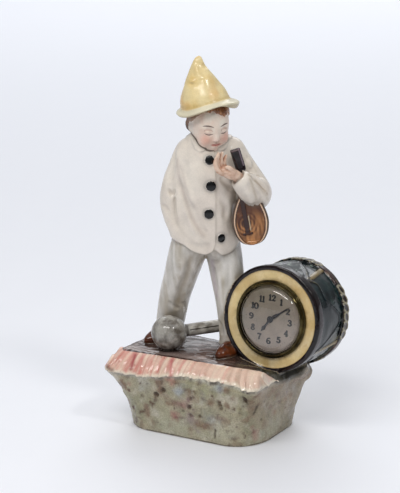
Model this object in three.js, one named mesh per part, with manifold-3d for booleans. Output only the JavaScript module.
// Table clock in glazed ceramic: a boy in a loose pierrot suit and a tall soft hat stands on a flared,
// stone-like plinth with a pleated frill, beside a dumbbell and a drum whose face holds a round clock.
// Millimetres, +Z up. The origin is the centre of the plinth's underside, and the long front faces -Y.
import * as THREE from 'three';
import { mergeVertices } from 'three/addons/utils/BufferGeometryUtils.js';
import Module from 'manifold-3d';

const wasm = await Module();
wasm.setup();

// ---------------------------------------------------------------- driving dimensions
const PLINTH = { L: 63.6, D: 40.3, r: 29, rimL: 71, rimD: 43.4, rimR: 6, rimZ: 48.6, foot: 1.6 };
const FLARE_POWER = 1.7;          // how late the walls flare out
const DECK_Z = 63.5;              // deck height where the boy stands
const DECK = { left: -63.5, right: 66, front: -25.5, back: 38.5, r: 6 };
const CORNER_PULL = 0.055;         // the front left and back right corners of the rim stand out further
const FRILL = { pleats: 10, depth: 1.4 };

const FIG = { x: -4, y: 6, turn: 33.25 }; // the boy's own frame: x to his left, -y to his front
const HEM_Z = 149, NECK_Z = 240;
const HEAD = { x: 8.2, y: -5, z: 250.5, rx: 15.6, ry: 17, rz: 19.5, tilt: 16, turn: 22 };
const HAT = { x: 8, y: -4, z: 264.5, brim: 25.4, crown: 20.6, height: 41, lean: 9 };
const BUTTON = { r: 4.1, h: 1.6 };

const BALL_R = 14.6, BAR_R = 5.2;
const BALL_A = new THREE.Vector3(-27.5, -14.5, 77.4);
const BALL_B = new THREE.Vector3(5.4, 35.7, 75.6);

const DRUM = { x: 60.5, y: 0.8, z: 97.5, turn: 1.2, tilt: 8, R: 43.4, body: 41.3, skin: 39.2, len: 51.7 };
const SKIN_BACK = 1.0;            // the drum skin lies this far behind the front hoop's crest
const BORE_R = 27.0;              // clock bore, right through the drum
const CASE = { r: 26.5, back: -50.2, front: -0.4 };
const DIAL = { r: 27.3, z0: 0.0, z1: 0.6, hole: 1.5, turn: -2.5 };
const BEZEL = { r: 31.5, z0: -0.65, inner: 27.7, top: 3.5 };
const GLASS = { r: 27.35, edge0: 2.2, edge1: 3.1, rise: 2.0 };
const HANDS = { hour: 13.2, minute: 20.2, hourZ: 1.0, minuteZ: 1.75, thick: 0.4, arbor: 0.85 };
const HOUR_ANGLE = 214.5, MINUTE_ANGLE = 54;  // clockwise from twelve, about nine minutes past seven

// ---------------------------------------------------------------- helpers
const V = (x, y, z) => new THREE.Vector3(x, y, z);
const rad = THREE.MathUtils.degToRad;
const mix = (a, b, t) => a + (b - a) * t;
const smooth = (a, b, x) => { const t = Math.min(1, Math.max(0, (x - a) / (b - a))); return t * t * (3 - 2 * t); };
const bump = (x, c, w) => Math.exp(-((x - c) ** 2) / (2 * w * w));

// closed skin over a stack of rings with equal point counts; both ends are closed by a fan
function loft(rings) {
  const n = rings[0].length, pos = [], idx = [];
  for (const ring of rings) for (const p of ring) pos.push(p.x, p.y, p.z);
  for (let k = 0; k + 1 < rings.length; k++)
    for (let i = 0; i < n; i++) {
      const a = k * n + i, b = k * n + (i + 1) % n, c = a + n, d = b + n;
      if ((i + k) % 2) idx.push(a, b, d, a, d, c); else idx.push(a, b, c, b, d, c);
    }
  for (const [k, flip] of [[0, true], [rings.length - 1, false]]) {
    const c = rings[k].reduce((s, p) => s.add(p), V(0, 0, 0)).divideScalar(n);
    const ci = pos.length / 3;
    pos.push(c.x, c.y, c.z);
    for (let i = 0; i < n; i++) {
      const a = k * n + i, b = k * n + (i + 1) % n;
      if (flip) idx.push(ci, b, a); else idx.push(ci, a, b);
    }
  }
  return closed(pos, idx);
}

function closed(pos, idx) {
  let vol = 0;
  for (let i = 0; i < idx.length; i += 3) {
    const [a, b, c] = [0, 1, 2].map(j => V(...pos.slice(3 * idx[i + j], 3 * idx[i + j] + 3)));
    vol += a.dot(b.cross(c));
  }
  if (vol < 0) for (let i = 0; i < idx.length; i += 3) [idx[i + 1], idx[i + 2]] = [idx[i + 2], idx[i + 1]];
  const g = new THREE.BufferGeometry();
  g.setAttribute('position', new THREE.Float32BufferAttribute(pos, 3));
  g.setIndex(idx);
  return g;
}

function solid(geometry, matrix = new THREE.Matrix4()) {
  let g = geometry.clone();
  for (const name of Object.keys(g.attributes)) if (name !== 'position') g.deleteAttribute(name);
  g.applyMatrix4(matrix);
  g = mergeVertices(g, 1e-4);
  return new wasm.Manifold(new wasm.Mesh({
    numProp: 3,
    vertProperties: new Float32Array(g.attributes.position.array),
    triVerts: new Uint32Array(g.index.array),
  }));
}

function geometryOf(manifold) {
  const m = manifold.getMesh();
  const g = new THREE.BufferGeometry();
  g.setAttribute('position', new THREE.BufferAttribute(new Float32Array(m.vertProperties), 3));
  g.setIndex(Array.from(m.triVerts));
  return g;
}

const join = list => list.reduce((a, b) => a.add(b));

// horizontal ring, a superellipse of half sizes rx, ry about (cx, cy) at height z
function oval(n, cx, cy, z, rx, ry, power = 2, fold = () => 0) {
  return Array.from({ length: n }, (_, i) => {
    const t = 2 * Math.PI * i / n, c = Math.cos(t), s = Math.sin(t), k = 1 + fold(t);
    const e = 2 / power;
    return V(cx + rx * k * Math.sign(c) * Math.abs(c) ** e, cy + ry * k * Math.sign(s) * Math.abs(s) ** e,
      typeof z === 'function' ? z(t) : z);
  });
}

// tube through a list of [point, radius, radius across] with rounded ends
function limb(stations, n, steps, fold = () => 0, front = V(0, -1, 0)) {
  const curve = new THREE.CatmullRomCurve3(stations.map(s => s[0]), false, 'centripetal');
  const at = (u, j) => {
    const f = u * (stations.length - 1), i = Math.min(stations.length - 2, Math.floor(f)), t = f - i;
    const a = stations[i], b = stations[i + 1];
    return mix(a[j] ?? a[1], b[j] ?? b[1], t * t * (3 - 2 * t));
  };
  const rings = [];
  const ringAt = (u, shift, scale) => {
    const c = curve.getPoint(u), t = curve.getTangent(u);
    const x = V(0, 0, 0).crossVectors(front, t).normalize(), y = V(0, 0, 0).crossVectors(t, x).normalize();
    const rx = at(u, 1) * scale, ry = at(u, 2) * scale;
    rings.push(Array.from({ length: n }, (_, i) => {
      const a = 2 * Math.PI * i / n, k = 1 + fold(a, u) * scale;
      return c.clone().addScaledVector(t, shift * at(u, 1))
        .addScaledVector(x, rx * k * Math.cos(a)).addScaledVector(y, ry * k * Math.sin(a));
    }));
  };
  for (const a of [75, 40]) ringAt(0, -Math.sin(rad(a)) * 0.8, Math.cos(rad(a)));
  for (let k = 0; k <= steps; k++) ringAt(k / steps, 0, 1);
  for (const a of [40, 75]) ringAt(1, Math.sin(rad(a)) * 0.8, Math.cos(rad(a)));
  return loft(rings);
}

const ball = (r, w, h) => new THREE.SphereGeometry(r, w, h);
const place = (x, y, z, rx = 0, ry = 0, rz = 0, sx = 1, sy = 1, sz = 1) => new THREE.Matrix4().compose(
  V(x, y, z), new THREE.Quaternion().setFromEuler(new THREE.Euler(rad(rx), rad(ry), rad(rz), 'ZYX')), V(sx, sy, sz));

// ---------------------------------------------------------------- plinth
// rounded rectangle ring between four bounds, points spread evenly along its outline
function frameRing(n, x0, x1, y0, y1, r, shape) {
  const path = new THREE.Path();
  path.moveTo(x0 + r, y0).lineTo(x1 - r, y0).absarc(x1 - r, y0 + r, r, -Math.PI / 2, 0)
    .lineTo(x1, y1 - r).absarc(x1 - r, y1 - r, r, 0, Math.PI / 2)
    .lineTo(x0 + r, y1).absarc(x0 + r, y1 - r, r, Math.PI / 2, Math.PI)
    .lineTo(x0, y0 + r).absarc(x0 + r, y0 + r, r, Math.PI, 1.5 * Math.PI);
  const cx = (x0 + x1) / 2, cy = (y0 + y1) / 2;
  // point i lies on the ray towards a fixed bearing, so that rings of different shape stay in step
  const dense = path.getSpacedPoints(720);
  const bearings = dense.map(p => Math.atan2((p.y - cy) / (y1 - y0), (p.x - cx) / (x1 - x0)));
  const front = Math.round(n * 0.56);
  return Array.from({ length: n }, (_, i) => {
    // more than half of the points serve the pleated front
    const want = i < front ? -0.8 * Math.PI + 0.6 * Math.PI * i / front
      : -0.2 * Math.PI + 1.4 * Math.PI * (i - front) / (n - front);
    let best = 0, gap = 9;
    bearings.forEach((b, k) => {
      const d = Math.abs(Math.atan2(Math.sin(b - want), Math.cos(b - want)));
      if (d < gap) { gap = d; best = k; }
    });
    return shape(dense[best].x, dense[best].y);
  });
}

// height of the deck: level where the boy stands, falling to the back rim and towards the drum
const deckZ = (x, y) => DECK_Z - 6.5 * smooth(14, 42, y) - 8 * smooth(24, 66, x) * smooth(-22, -4, y)
  + 0.5 * Math.sin(x / 9) * Math.cos(y / 7);

const pull = (x, y, f) => {
  const k = CORNER_PULL * f * Math.max(-0.45, Math.min(1, x * y / (PLINTH.rimL * PLINTH.rimD)));
  return [x * (1 + k), y * (1 + 0.7 * k)];
};

function plinth() {
  const n = 66, rings = [];
  const wall = (z, inset = 0) => {
    const f = Math.min(1, z / PLINTH.rimZ) ** FLARE_POWER;
    const L = mix(PLINTH.L, PLINTH.rimL, f) - inset, D = mix(PLINTH.D, PLINTH.rimD, f) - inset;
    rings.push(frameRing(n, -L, L, -D, D, mix(PLINTH.r, PLINTH.rimR, f), (x, y) => V(...pull(x, y, Math.sqrt(f)), z)));
  };
  wall(0, PLINTH.foot);
  wall(PLINTH.foot, 0);
  for (const z of [17, 31, 41, 46.4]) wall(z);
  const frill = (x, y) => smooth(4, -12, y) * (x > 0 ? 1 : smooth(-PLINTH.rimL - 1, -PLINTH.rimL + 8, x) + 0.4 * smooth(-20, -36, y));
  const pleat = (x, y) => FRILL.depth * Math.min(1, frill(x, y)) * Math.cos(2 * Math.PI * FRILL.pleats * (x + 0.35 * y) / (2 * PLINTH.rimL));
  rings.push(frameRing(n, -PLINTH.rimL, PLINTH.rimL, -PLINTH.rimD, PLINTH.rimD, PLINTH.rimR,
    (x, y) => { const [X, Y] = pull(x, y, 1); return V(X, Y - 0.5 * pleat(x, y), PLINTH.rimZ + 0.9 * pleat(x, y)); }));
  rings.push(frameRing(n, -PLINTH.rimL + 1.8, PLINTH.rimL - 2.2, -PLINTH.rimD + 3.4, PLINTH.rimD - 1.2, PLINTH.rimR,
    (x, y) => { const [X, Y] = pull(x, y, 0.8); return V(X, Y - pleat(x, y), mix(51.8, 55.6 + 0.8 * pleat(x, y), Math.min(1, frill(x, y)))); }));
  rings.push(frameRing(n, -PLINTH.rimL + 4.6, PLINTH.rimL - 3.8, mix(-PLINTH.rimD, DECK.front, 0.56), PLINTH.rimD - 3.2, 6,
    (x, y) => V(x, y - 0.6 * pleat(x, y), Math.min(deckZ(x, y) - 0.6, 61.2 + 0.6 * pleat(x, y)))));
  rings.push(frameRing(n, DECK.left, DECK.right, DECK.front, DECK.back, DECK.r, (x, y) => V(x, y, deckZ(x, y))));
  for (const k of [0.55]) rings.push(frameRing(n, DECK.left * k, DECK.right * k, DECK.front * k, DECK.back * k + 1, DECK.r * k,
    (x, y) => V(x, y, deckZ(x, y))));
  return solid(loft(rings));
}

// ---------------------------------------------------------------- the boy, in his own frame
function jacket() {
  const n = 30;
  // soft gathers that run down from the chest and deepen towards the hem
  const folds = depth => t => depth * (0.55 * Math.cos(5 * t + 0.6) + 0.45 * Math.cos(9 * t - 0.9));
  const hem = t => HEM_Z + 3.2 * Math.cos(t) - 3.0 * bump(Math.abs(Math.atan2(Math.sin(t + Math.PI / 2), Math.cos(t + Math.PI / 2))), 0.35, 0.45);
  const rings = [
    oval(n, 3.2, 0, hem, 24.5, 18, 2.2, folds(0.02)),
    oval(n, 3.0, 0, t => hem(t) + 0.8, 27.6, 21.4, 2.2, folds(0.035)),
    oval(n, 3.0, 0, 160, 28.3, 21.8, 2.2, folds(0.03)),
    oval(n, 3.4, 0, 176, 27.6, 21.2, 2.2, folds(0.022)),
    oval(n, 4.4, 0, 194, 26.6, 20.6, 2.2, folds(0.014)),
    oval(n, 6.0, 0, 210, 27.4, 19.8, 2.2, folds(0.008)),
    oval(n, 7.2, 0, 222, 29.6, 17.8, 2.3, folds(0.004)),
    oval(n, 7.2, 0, 230, 28.0, 15.6, 2.3),
    oval(n, 6.6, -0.5, 236, 22.4, 13.4, 2.2),
    oval(n, 7.0, -1.5, NECK_Z, 14.6, 12.0),
    oval(n, 7.6, -2, NECK_Z + 3, 9.4, 9.0),
  ];
  return solid(loft(rings));
}

function arms() {
  const soft = (depth, count) => (a, u) => depth * Math.cos(count * a + 7 * u);
  const rightArm = limb([
    [V(-9, 0, 226.5), 11, 11], [V(-15.6, 0.5, 214), 10.8, 11.5], [V(-21, 2, 200), 10.8, 11],
    [V(-24, 1, 187.5), 10.2, 10.4], [V(-22, -4, 173), 8.8, 9.4], [V(-17.6, -9, 161), 8.4, 8.6]], 13, 7, soft(0.04, 3));
  const leftArm = limb([
    [V(27, 0, 226), 12, 12], [V(35.5, 0.5, 214), 11.8, 12], [V(43, -3, 200), 13, 13.4],
    [V(43.6, -9.5, 193.5), 13, 13], [V(38.6, -17.5, 199), 11.6, 11.6], [V(32.6, -23.5, 207), 9.6, 9.4], [V(29, -26.2, 212), 8.6, 8.2]],
  13, 8, soft(0.05, 4), V(0.2, -0.2, 1));
  return [solid(rightArm), solid(leftArm)];
}

function hand() {
  const parts = [solid(ball(1, 9, 6), place(21.5, -29.5, 217.6, 0, 32, 0, 8.4, 4.6, 5.4))];
  const finger = pts => solid(limb(pts.map(([x, y, z, r]) => [V(x, y, z), r, r]), 6, 2));
  parts.push(finger([[31, -26, 212.4, 4.6], [25, -28.6, 215, 4.8], [20, -30, 218, 4.2]]));
  parts.push(finger([[16.5, -31.5, 219, 2.1], [12.8, -33, 224.6, 2.0], [12.8, -31.4, 230, 1.6]]));
  parts.push(finger([[17.6, -29, 220, 2.1], [14.6, -29.6, 226, 2.0], [15.4, -28, 231.4, 1.6]]));
  parts.push(finger([[19, -26.4, 220, 2.0], [17.2, -26.2, 226, 1.9], [18, -25, 230.6, 1.5]]));
  parts.push(finger([[23, -31.6, 219, 2.2], [23.6, -33, 223, 2.0], [21.8, -33.4, 226, 1.6]]));
  return join(parts);
}

function legs() {
  const crease = (a, u) => 0.045 * Math.cos(4 * a + 3 * u) * smooth(0.1, 0.5, u);
  const leg = st => solid(limb(st.map(([x, y, z, r, q]) => [V(x, y, z), r, q ?? r]), 14, 6, crease));
  return [
    leg([[-8, 0, 160, 17, 16], [-14.2, 2, 140, 15.2, 15.2], [-19.6, 9, 122, 13.8, 14.4], [-24.8, 16.5, 104, 12.9, 13.2], [-28, 22.6, 88, 12.2, 12.6], [-31, 27, 76, 12.2, 12.4]]),
    leg([[13, 0, 160, 17, 16], [16.6, -2, 140, 14.6, 15.2], [18.6, -4.6, 122, 13.6, 14.4], [20.6, -5, 104, 12.8, 12.8], [21.4, -6.4, 88, 12.2, 12], [21.8, -7.4, 77, 12.2, 11.8]]),
    solid(ball(1, 12, 6), place(2.6, 0, 158, 0, 0, 0, 23, 16.5, 14)),
  ];
}

// a soft shoe: heel at the ankle, toe along the given bearing of the boy's frame
function shoe(x, y, bearing) {
  const dir = V(Math.sin(rad(bearing)), -Math.cos(rad(bearing)), 0);
  const z = DECK_Z + 2.6;
  const p = (k, h) => V(x, y, z + h).addScaledVector(dir, k);
  return solid(limb([[p(-4, 1), 6.4, 6], [p(6, 1.4), 6.6, 5.8], [p(15, 0.4), 6.8, 4.6], [p(20, 0), 6, 3.8]], 10, 3, () => 0, V(0, 0, 1)));
}

function head() {
  const frame = new THREE.Matrix4().makeTranslation(HEAD.x, HEAD.y, HEAD.z)
    .multiply(new THREE.Matrix4().makeRotationZ(rad(HEAD.turn)))
    .multiply(new THREE.Matrix4().makeRotationX(rad(HEAD.tilt)));
  // child's skull with an egg outline: full cheeks below, round crown above
  const skull = ball(1, 16, 10);
  skull.rotateX(Math.PI / 2);
  const q = skull.attributes.position;
  for (let i = 0; i < q.count; i++) {
    const z = q.getZ(i), y = q.getY(i), w = 1 - 0.24 * smooth(-0.2, -1, z);
    q.setXYZ(i, q.getX(i) * HEAD.rx * w, y * HEAD.ry * (1 - 0.1 * smooth(-0.3, -1, z)) - 1.2 * smooth(-0.4, -1, z), z * HEAD.rz);
  }
  const at = m => frame.clone().multiply(m);
  return join([
    solid(skull, frame),
    solid(ball(1, 8, 5), at(place(0, -17.4, -4.6, 24, 0, 0, 1.9, 2.4, 3.2))),                  // nose
    solid(ball(1, 8, 5), at(place(-15.2, 1.6, -3, 0, 12, 10, 2.0, 3.4, 4.6))),                 // ears
    solid(ball(1, 8, 5), at(place(15.2, 1.6, -3, 0, -12, -10, 2.0, 3.4, 4.6))),
    solid(ball(1, 14, 6), at(place(0, 2.6, 4.6, 0, 0, 0, 16.9, 16.8, 16.4))),                 // hair
  ]);
}

function hat() {
  const n = 22;
  const tilt = new THREE.Matrix4().makeTranslation(HAT.x, HAT.y, HAT.z).multiply(new THREE.Matrix4().makeRotationY(rad(-HAT.lean)));
  // brim droops at the sides and turns up over the brow
  const droop = t => -2.6 * Math.abs(Math.cos(t)) ** 3 + 1.6 * bump(Math.atan2(Math.sin(t + 1.35), Math.cos(t + 1.35)), 0, 0.5);
  const rings = [
    oval(n, 0, 0, t => droop(t) - 1.2, HAT.brim - 1.2, HAT.brim * 0.94 - 1.2),
    oval(n, 0, 0, t => droop(t) + 0.8, HAT.brim + 0.3, HAT.brim * 0.95),
    oval(n, 0, 0, t => 0.5 * droop(t) + 3.6, HAT.crown + 1.0, HAT.crown + 0.6),
    oval(n, 0, 0, 9, HAT.crown - 0.8, HAT.crown - 1.2),
    oval(n, 0, 0, 17, 17.2, 16.4, 2, t => 0.03 * Math.cos(3 * t + 1)),
    oval(n, 0, 0.6, 25, 12.8, 12.8, 2, t => 0.07 * Math.cos(3 * t + 0.4)),
    oval(n, -0.2, 1.2, 33, 7.0, 7.6, 2, t => 0.12 * Math.cos(3 * t)),
    oval(n, 0.3, 1.4, HAT.height - 1.4, 2.8, 3.0),
    oval(n, 0.6, 1.4, HAT.height, 1.0, 1.0),
  ];
  return solid(loft(rings), tilt);
}

function collar() {
  // turned-down collar, open at the throat, with two points on the chest
  const pts = [];
  for (let a = -60; a <= 240; a += 25) pts.push(V(7.4 + 14.4 * Math.cos(rad(a)), -1 - 13 * Math.sin(rad(a + 0)) * -1, 238.4 - 3.2 * Math.cos(rad(a - 90))));
  const ring = limb(pts.map((p, i) => [p, 3.0, 3.4]), 6, 11, () => 0, V(0, 0, 1));
  return [solid(ring),
    solid(limb([[V(13, -12.5, 236.5), 3, 3], [V(19, -17.6, 231), 1.8, 2.6]], 8, 2, () => 0, V(1, 0, 0))),
    solid(limb([[V(2.6, -13, 236.2), 3, 3], [V(0.2, -17.2, 231), 1.8, 2.6]], 8, 2, () => 0, V(1, 0, 0)))];
}

function buttons() {
  // down the overlap of the jacket's front, the lowest on the under panel
  return [[7.6, -21.0, 222.6, 12], [7.8, -21.6, 202.6, 2], [5.4, -22.4, 180, -2], [14.2, -21.6, 160.2, -4]].map(([x, y, z, pitch]) =>
    solid(new THREE.CylinderGeometry(BUTTON.r * 0.82, BUTTON.r, BUTTON.h * 3, 11, 1), place(x, y + 2, z, -pitch, 0, 0)));
}

function mandolin() {
  // pear-shaped body with a bowl back, its neck running up behind the raised forearm
  const half = h => { // half width at height h above the tail, 0 to 46
    const u = Math.min(1, Math.max(0, h / 46));
    return 15.2 * Math.sqrt(Math.max(0, Math.sin(Math.PI * Math.min(1, u ** 0.62 * 0.98)))) * (1 - 0.2 * smooth(0.55, 1, u)) + 0.3;
  };
  const frame = place(37.8, -20.5, 153.4, 0, -8, 0);
  const rings = [];
  const n = 14;
  for (const h of [0.3, 1.8, 5, 10, 17, 25, 34, 46]) {
    const w = Math.max(1.2, half(h));
    rings.push(Array.from({ length: n }, (_, i) => {
      const t = 2 * Math.PI * i / n, c = Math.cos(t), s = Math.sin(t);
      // flat belly towards the viewer, bowl behind
      return V(w * c, s < 0 ? Math.max(-1.8, 1.8 * s * 1.6) : 0.62 * w * s, h);
    }));
  }
  const neck = new THREE.BoxGeometry(4.6, 4, 66).translate(0, 0.6, 50);
  const peg = new THREE.BoxGeometry(7.6, 3.4, 17).translate(0, 0.8, 71.2);
  const board = new THREE.BoxGeometry(4.0, 1.4, 40).translate(0, -2.0, 30);
  const bridge = new THREE.BoxGeometry(7.4, 1.4, 1.6).translate(0, -2.0, 10.4);
  return join([loft(rings), neck, peg, board, bridge].map(g => solid(g, frame)));
}

const figureMatrix = new THREE.Matrix4().makeTranslation(FIG.x, FIG.y, 0).multiply(new THREE.Matrix4().makeRotationZ(rad(FIG.turn)));
const boy = join([jacket(), ...arms(), hand(), ...legs(), head(), hat(), ...collar(), ...buttons(), mandolin()])
  .transform(figureMatrix.toArray());
const feet = join([shoe(-33, 27.5, -50), shoe(21.4, -8.4, -36)]).transform(figureMatrix.toArray());

// ---------------------------------------------------------------- dumbbell
function dumbbell() {
  const mid = BALL_A.clone().add(BALL_B).multiplyScalar(0.5), dir = BALL_B.clone().sub(BALL_A);
  const turn = new THREE.Matrix4().makeRotationFromQuaternion(new THREE.Quaternion().setFromUnitVectors(V(0, 1, 0), dir.clone().normalize()));
  const bar = new THREE.CylinderGeometry(BAR_R, BAR_R, dir.length(), 12, 1);
  return join([solid(ball(BALL_R, 16, 10), place(...BALL_A.toArray())), solid(ball(BALL_R, 16, 10), place(...BALL_B.toArray())),
    solid(bar, new THREE.Matrix4().makeTranslation(mid.x, mid.y, mid.z).multiply(turn))]);
}

// ---------------------------------------------------------------- drum
const drumFrame = new THREE.Group();
drumFrame.position.set(DRUM.x, DRUM.y, DRUM.z);
drumFrame.rotation.set(rad(90 - DRUM.tilt), 0, rad(DRUM.turn), 'ZYX');
drumFrame.updateMatrixWorld(true);

const lathe = (profile, n) => new THREE.LatheGeometry(profile.map(([r, z]) => new THREE.Vector2(r, z)), n).rotateX(Math.PI / 2);

function drum() {
  const { R, body, skin, len } = DRUM;
  const shell = lathe([[0, -len + SKIN_BACK], [skin - 0.5, -len + SKIN_BACK], [skin + 0.6, -len], [R - 1.4, -len + 0.3], [R, -len + 2], [R, -len + 7.4],
    [body, -len + 8.4], [body, -9.4], [R, -8.4], [R, -2], [R - 1.4, -0.3], [skin + 0.6, 0], [skin - 0.5, -SKIN_BACK], [0, -SKIN_BACK]], 32);
  return solid(shell, drumFrame.matrixWorld);
}
const boreTool = lathe([[0, -DRUM.len - 5], [BORE_R, -DRUM.len - 5], [BORE_R, 5], [0, 5]], 32);
// cradle of clay that the drum is bedded in
const cradle = solid(ball(1, 14, 7), place(60, 27, 48.5, 0, 0, 0, 16, 16, 9));

const ceramic = join([plinth(), boy, feet, dumbbell(), cradle, drum()])
  .subtract(solid(boreTool, drumFrame.matrixWorld));

// ---------------------------------------------------------------- clock
const ringShape = (r, hole) => { const s = new THREE.Shape().absarc(0, 0, r, 0, 2 * Math.PI, false); if (hole) s.holes.push(new THREE.Path().absarc(0, 0, hole, 0, 2 * Math.PI, true)); return s; };
const plate = (shape, z0, z1, seg = 24) => new THREE.ExtrudeGeometry(shape, { depth: z1 - z0, bevelEnabled: false, curveSegments: seg }).translate(0, 0, z0);

const caseGeo = lathe([[0, CASE.back], [CASE.r - 2, CASE.back], [CASE.r, CASE.back + 2], [CASE.r, CASE.front], [0, CASE.front]], 30);
const dialGeo = plate(ringShape(DIAL.r, DIAL.hole), DIAL.z0, DIAL.z1, 14);
const bezelGeo = lathe([[BEZEL.inner, BEZEL.z0], [BEZEL.r, BEZEL.z0], [BEZEL.r, 0.3], [BEZEL.r - 0.9, 0.9], [30.2, 1.5], [29.3, 2.9],
  [28.4, BEZEL.top], [BEZEL.inner, 3.0], [BEZEL.inner, BEZEL.z0]], 36);
const dome = (r, z) => z + GLASS.rise * (1 - (r / GLASS.r) ** 2);
const glassGeo = lathe([[0, dome(0, GLASS.edge0)], ...[17, GLASS.r].map(r => [r, dome(r, GLASS.edge0)]),
  ...[GLASS.r, 17].map(r => [r, dome(r, GLASS.edge1)]), [0, dome(0, GLASS.edge1)]], 28);

// spade hand: round boss, slim stem, leaf-shaped blade, pointed tip, pointing at twelve
function handGeo(length, boss, stem, blade, z, hole, pin) {
  const s = new THREE.Shape();
  const b = length * 0.52, w = blade / 2, a0 = Math.asin(stem / 2 / boss);
  s.absarc(0, 0, boss, Math.PI / 2 + a0, Math.PI / 2 - a0 + 2 * Math.PI, false);
  s.lineTo(stem / 2, b).quadraticCurveTo(w, b + length * 0.08, w, b + length * 0.17)
    .quadraticCurveTo(w * 0.8, b + length * 0.27, stem / 3, b + length * 0.36).lineTo(0.12, length)
    .lineTo(-0.12, length).lineTo(-stem / 3, b + length * 0.36).quadraticCurveTo(-w * 0.8, b + length * 0.27, -w, b + length * 0.17)
    .quadraticCurveTo(-w, b + length * 0.08, -stem / 2, b);
  if (hole) s.holes.push(new THREE.Path().absarc(0, 0, hole, 0, 2 * Math.PI, true));
  let m = solid(plate(s, z, z + HANDS.thick, 3));
  if (pin) m = m.add(solid(new THREE.CylinderGeometry(pin, pin, 2.7, 12).rotateX(Math.PI / 2), place(0, 0, z + 0.95 - 1.35)));
  return geometryOf(m);
}
const hourGeo = handGeo(HANDS.hour, 2.1, 0.9, 3.0, HANDS.hourZ, HANDS.arbor + 0.35, 0);
const minuteGeo = handGeo(HANDS.minute, 1.8, 0.9, 2.2, HANDS.minuteZ, 0, HANDS.arbor);

// ---------------------------------------------------------------- scene graph
const paint = (color, roughness, metalness = 0) => new THREE.MeshStandardMaterial({ color, roughness, metalness });
const mesh = (name, geometry, material) => { const m = new THREE.Mesh(geometry, material); m.name = name; return m; };

const clock = new THREE.Group();
clock.add(
  mesh('clock_case', caseGeo, paint(0xb9975a, 0.35, 1)),
  mesh('clock_bezel', bezelGeo, paint(0xb8924a, 0.25, 1)),
  mesh('clock_crystal', glassGeo, paint(0xe8eef0, 0.05)),
);
const dialGroup = new THREE.Group();
dialGroup.rotation.z = rad(DIAL.turn);
dialGroup.add(mesh('clock_dial', dialGeo, paint(0xc9c3b6, 0.4, 0.3)));
const hour = mesh('hour_hand', hourGeo, paint(0x2c1f22, 0.4, 0.6));
hour.rotation.z = -rad(HOUR_ANGLE);
const minute = mesh('minute_hand', minuteGeo, paint(0x2c1f22, 0.4, 0.6));
minute.rotation.z = -rad(MINUTE_ANGLE);
dialGroup.add(hour, minute);
clock.add(dialGroup);
drumFrame.add(clock);

const object = new THREE.Group();
object.add(mesh('ceramic_group', geometryOf(ceramic), paint(0xe9e4d8, 0.18)), drumFrame);

export default object;
